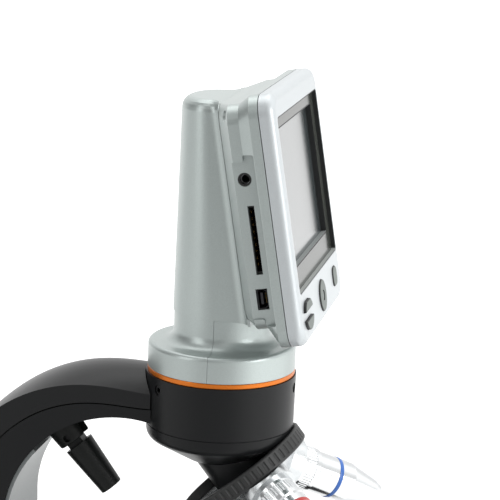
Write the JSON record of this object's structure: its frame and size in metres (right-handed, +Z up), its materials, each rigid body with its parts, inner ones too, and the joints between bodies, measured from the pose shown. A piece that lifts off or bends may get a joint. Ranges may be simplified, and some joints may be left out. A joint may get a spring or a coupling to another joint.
{
  "type": "digital microscope",
  "caption": "Upright compound microscope whose camera head carries a small display and buttons, with a swivelling head, turning nosepiece, focusing stage and built-in lamps.",
  "frame": {"origin": "middle of the whole outline, on the table under it", "axes": "+Z up, +X towards the user and the display, +Y to the user's right"},
  "size_m": [0.183, 0.12, 0.3232],
  "materials": {
    "silver_shell": "fine-grained silver paint over moulded plastic",
    "silver_bezel": "pale silver paint",
    "surround_grey": "fine satin",
    "display_glass": "dark, switched off",
    "board_green": "solder mask",
    "soft_black": "satin rubber",
    "button_grey": "satin",
    "socket_black": "moulded black",
    "socket_metal": "bright plated sheet",
    "orange_ring": "satin anodised look",
    "black_paint": "semi-gloss black",
    "black_plastic": "fine texture",
    "strip_silver": "satin silver",
    "steel": "zinc plated",
    "turret_silver": "satin turned",
    "grip_black": "fluted grip",
    "objective_chrome": "polished",
    "clear_glass": "clear optical",
    "frosted_glass": "frosted",
    "stage_black": "matt black",
    "rubber_foot": "matt",
    "knob_black": "fluted, satin",
    "bare_aluminium": "satin turned"
  },
  "bodies": {
    "stand": {"head_mount": "black_paint", "joint_ring": "orange_ring", "set_screws": "steel", "arm_casting": "black_paint", "arm_top_cover": "black_plastic", "arm_inner_cover": "strip_silver", "arm_screws": "steel", "turret_pivot_screw": "steel", "lamp_bracket": "black_plastic", "lamp_pin": "black_paint", "base_shell": "black_plastic", "base_plate": "stage_black", "rubber_feet": "rubber_foot", "base_screws": "steel", "lens_holder": "black_plastic", "field_lens": "frosted_glass", "light_board": "board_green", "control_board": "board_green", "dc_inlet": "socket_black"},
    "camera_head": {"tower_shell": "silver_shell", "head_front_shell": "silver_shell", "lcd_bezel": "silver_bezel", "display_surround": "surround_grey", "lcd_panel": "display_glass", "main_board": "board_green", "keypad_mat": "soft_black", "button_board": "board_green", "av_jack": "socket_black", "card_socket": "socket_black", "usb_socket": "socket_metal", "head_screws": "steel", "relay_lens": "clear_glass", "sensor_board": "board_green", "swivel_collar": "bare_aluminium"},
    "nosepiece": {"turret_ring": "grip_black", "turret_rotor": "turret_silver", "objective_4x": "objective_chrome", "objective_10x": "objective_chrome", "objective_40x": "objective_chrome", "objective_lenses": "clear_glass"},
    "stage": {"stage_plate": "stage_black", "stage_bracket": "stage_black", "stage_screws": "steel"},
    "focus_drive": {"focus_shaft": "steel", "focus_knobs": "knob_black"},
    "light_wheel": {"filter_wheel": "knob_black"},
    "cross_slide": {"cross_bar": "stage_black"},
    "holder": {"slide_holder": "bare_aluminium"},
    "clip": {"clip_lever": "steel"},
    "drive_x": {"x_knob": "knob_black"},
    "drive_y": {"y_knob": "knob_black"},
    "top_lamp": {"lamp_housing": "black_plastic", "lamp_led": "clear_glass"},
    "menu": {"menu_button": "button_grey"},
    "power": {"power_button": "button_grey"},
    "snap": {"snap_button": "button_grey"},
    "pad": {"nav_pad": "button_grey"},
    "ok": {"ok_button": "button_grey"},
    "switch": {"light_switch": "knob_black"},
    "dimmer": {"dimmer_wheel": "knob_black"}
  },
  "joints": [
    {"name": "head_swivel", "type": "hinge", "parent": "stand", "child": "camera_head", "pos_m": [0.0295, 0, 0.206], "axis": [0, 0, 1], "range_deg": [-90, 90]},
    {"name": "nosepiece_turn", "type": "hinge", "parent": "stand", "child": "nosepiece", "pos_m": [0.03814, 0, 0.1671], "axis": [0.6293, 0, -0.7771], "continuous": true},
    {"name": "stage_focus", "type": "slide", "parent": "stand", "child": "stage", "axis": [0, 0, 1], "range_m": [-0.022, 0]},
    {"name": "focus_turn", "type": "hinge", "parent": "stand", "child": "focus_drive", "pos_m": [-0.0637, 0, 0.076], "axis": [0, 1, 0], "range_deg": [0, 281]},
    {"name": "light_wheel_turn", "type": "hinge", "parent": "stage", "child": "light_wheel", "pos_m": [0.0515, 0, 0.0888], "axis": [0, 0, 1], "continuous": true},
    {"name": "stage_x", "type": "slide", "parent": "stage", "child": "cross_slide", "axis": [1, 0, 0], "range_m": [-0.01, 0.004]},
    {"name": "stage_y", "type": "slide", "parent": "cross_slide", "child": "holder", "axis": [0, 1, 0], "range_m": [-0.008, 0.008]},
    {"name": "clip_swing", "type": "hinge", "parent": "holder", "child": "clip", "pos_m": [0.0221, 0.042, 0.0983], "axis": [0, 0, 1], "range_deg": [0, 20], "stiffness_Nm_per_rad": 0.01, "springref_deg": -11.46},
    {"name": "x_knob_turn", "type": "hinge", "parent": "cross_slide", "child": "drive_x", "pos_m": [0.013, 0.045, 0.0705], "axis": [0, 0, 1], "range_deg": [-73, 30]},
    {"name": "y_knob_turn", "type": "hinge", "parent": "cross_slide", "child": "drive_y", "pos_m": [0.013, 0.045, 0.0788], "axis": [0, 0, 1], "range_deg": [-58, 58]},
    {"name": "lamp_tilt", "type": "hinge", "parent": "stand", "child": "top_lamp", "pos_m": [-0.03184, 0, 0.173], "axis": [0, 1, 0], "range_deg": [-15, 15]},
    {"name": "switch_rock", "type": "hinge", "parent": "stand", "child": "switch", "pos_m": [-0.0105, -0.054, 0.017], "axis": [1, 0, 0], "range_deg": [-8, 8]},
    {"name": "dimmer_turn", "type": "hinge", "parent": "stand", "child": "dimmer", "pos_m": [0.0295, -0.049, 0.02], "axis": [0, 0, 1], "range_deg": [-135, 135]},
    {"name": "menu_press", "type": "slide", "parent": "camera_head", "child": "menu", "axis": [0.9855, 0, 0.1698], "range_m": [-0.0005, 0], "stiffness_N_per_m": 1500},
    {"name": "power_press", "type": "slide", "parent": "camera_head", "child": "power", "axis": [0.9855, 0, 0.1698], "range_m": [-0.0005, 0], "stiffness_N_per_m": 1500},
    {"name": "snap_press", "type": "slide", "parent": "camera_head", "child": "snap", "axis": [0.9855, 0, 0.1698], "range_m": [-0.0005, 0], "stiffness_N_per_m": 1500},
    {"name": "pad_press", "type": "slide", "parent": "camera_head", "child": "pad", "axis": [0.9855, 0, 0.1698], "range_m": [-0.0005, 0], "stiffness_N_per_m": 1500},
    {"name": "ok_press", "type": "slide", "parent": "camera_head", "child": "ok", "axis": [0.9855, 0, 0.1698], "range_m": [-0.0005, 0], "stiffness_N_per_m": 1500}
  ],
  "couplings": [
    {"joint": "focus_turn", "follows": "stage_focus", "rad_per_m": -222.22},
    {"joint": "x_knob_turn", "follows": "stage_x", "rad_per_m": 125},
    {"joint": "y_knob_turn", "follows": "stage_y", "rad_per_m": 125}
  ]
}
